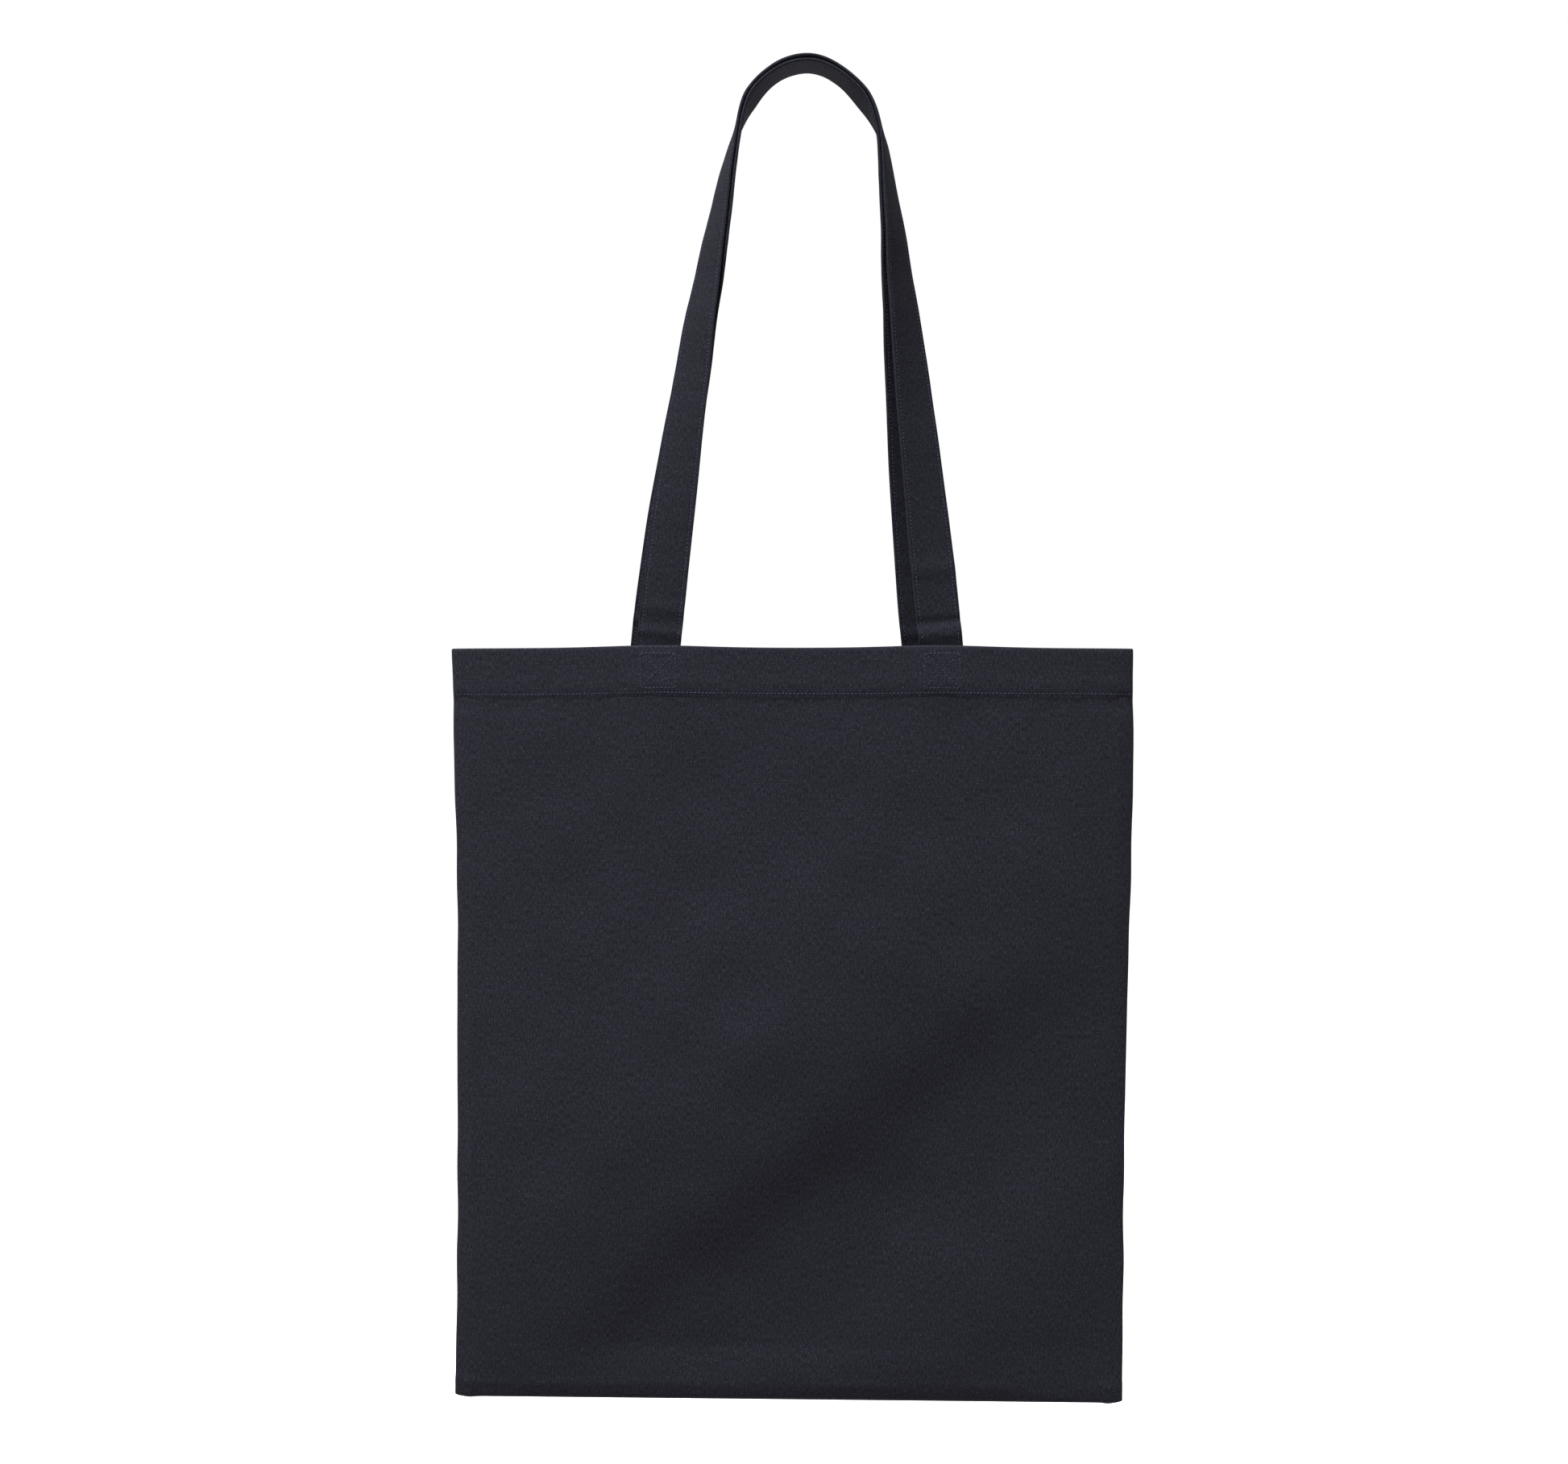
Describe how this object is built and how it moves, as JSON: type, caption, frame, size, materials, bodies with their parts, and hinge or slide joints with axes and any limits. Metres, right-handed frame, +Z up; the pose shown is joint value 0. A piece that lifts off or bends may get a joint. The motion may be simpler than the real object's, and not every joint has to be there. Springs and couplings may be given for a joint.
{
  "type": "canvas tote bag",
  "caption": "Flat open-topped canvas shopper with a turned hem and long sewn-on strap handles that fold down, shown hanging from a hook by both handles.",
  "frame": {"origin": "the point where the hook carries the bag: the underside of the inner handle at its crown, with the whole bag hanging below it", "axes": "+Z up, from the bag to the hook; the front of the bag faces -Y; +X is to the right of the front"},
  "size_m": [0.38, 0.0308, 0.7532],
  "materials": {
    "canvas": "matte plain-weave cotton canvas, dark navy",
    "strap_canvas": "the same canvas folded to four layers and edge-stitched",
    "thread": "spun polyester sewing thread, navy, slight sheen"
  },
  "bodies": {
    "bag": {"front_panel": "canvas", "back_panel": "canvas", "front_hem_turning": "canvas", "back_hem_turning": "canvas", "left_seam_allowance": "canvas", "right_seam_allowance": "canvas", "bottom_seam_allowance": "canvas", "left_seam_overlock": "thread", "right_seam_overlock": "thread", "bottom_seam_overlock": "thread", "front_hem_stitching": "thread", "back_hem_stitching": "thread", "front_left_strap_end": "strap_canvas", "front_right_strap_end": "strap_canvas", "back_left_strap_end": "strap_canvas", "back_right_strap_end": "strap_canvas", "front_left_box_stitching": "thread", "front_right_box_stitching": "thread", "back_left_box_stitching": "thread", "back_right_box_stitching": "thread"},
    "front_handle": {"front_strap": "strap_canvas", "front_strap_outer_stitching": "thread", "front_strap_inner_stitching": "thread"},
    "back_handle": {"back_strap": "strap_canvas", "back_strap_outer_stitching": "thread", "back_strap_inner_stitching": "thread"}
  },
  "joints": [
    {"name": "front_handle_fold", "type": "hinge", "parent": "bag", "child": "front_handle", "pos_m": [-0.0058, -0.01505, -0.327], "axis": [1, 0, 0], "range_deg": [0, 175]},
    {"name": "back_handle_fold", "type": "hinge", "parent": "bag", "child": "back_handle", "pos_m": [-0.0118, 0.01505, -0.327], "axis": [-1, 0, 0], "range_deg": [0, 175]}
  ]
}
